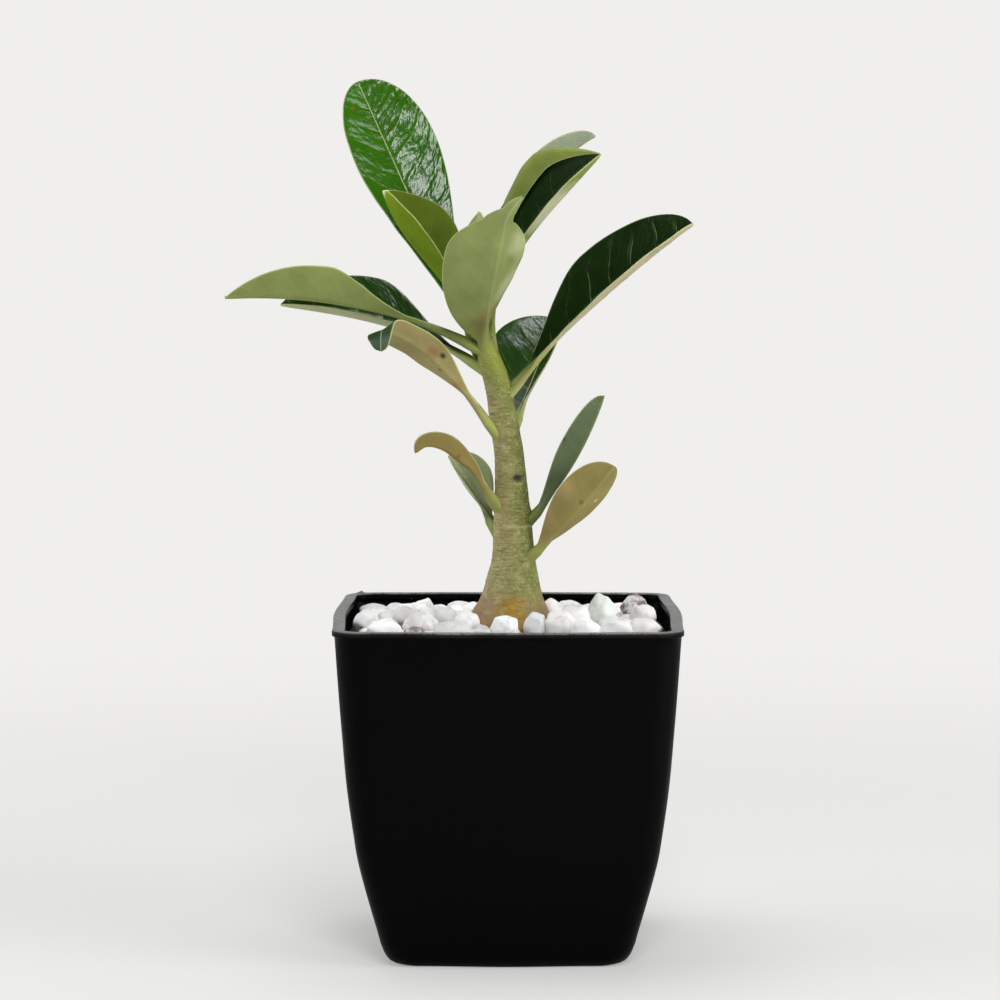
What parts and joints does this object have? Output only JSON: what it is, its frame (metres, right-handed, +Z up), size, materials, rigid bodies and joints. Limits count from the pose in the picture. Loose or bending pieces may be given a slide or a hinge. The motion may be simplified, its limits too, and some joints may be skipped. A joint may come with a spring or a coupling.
{
  "type": "potted desert rose adenium",
  "caption": "Young desert rose adenium with glossy paddle leaves on a swollen-footed stem, growing from white stone chips in a square black nursery pot.",
  "frame": {"origin": "middle of the pot's flat underside, on the surface that the pot stands on", "axes": "+Z up along the plant's height, the leaves point mostly to -X and +X, -Y is the side that faces the viewer"},
  "size_m": [0.1414, 0.107, 0.2672],
  "materials": {
    "black_pot_plastic": "satin black, with a worn grey lip",
    "potting_mix": "dark fibrous peat and bark",
    "white_stone_chips": "broken white marble, matt",
    "adenium_bark": "smooth grey-green living bark, brown at the foot",
    "adenium_leaf": "glossy dark green above, matt olive below",
    "young_adenium_leaf": "satin yellow-green"
  },
  "bodies": {
    "root": {"pot": "black_pot_plastic", "soil": "potting_mix", "stones": "white_stone_chips", "stem": "adenium_bark", "leaf_back_upright": "adenium_leaf", "leaf_young_fold": "young_adenium_leaf", "leaf_front": "adenium_leaf", "leaf_bud": "young_adenium_leaf", "leaf_upper_right": "adenium_leaf", "leaf_upper_right_back": "adenium_leaf", "leaf_right": "adenium_leaf", "leaf_right_back": "adenium_leaf", "leaf_left": "adenium_leaf", "leaf_left_back": "adenium_leaf", "leaf_curled_left": "adenium_leaf", "leaf_small_left": "adenium_leaf", "leaf_low_left_back": "adenium_leaf", "leaf_low_right_narrow": "adenium_leaf", "leaf_low_right_broad": "adenium_leaf"}
  },
  "joints": []
}
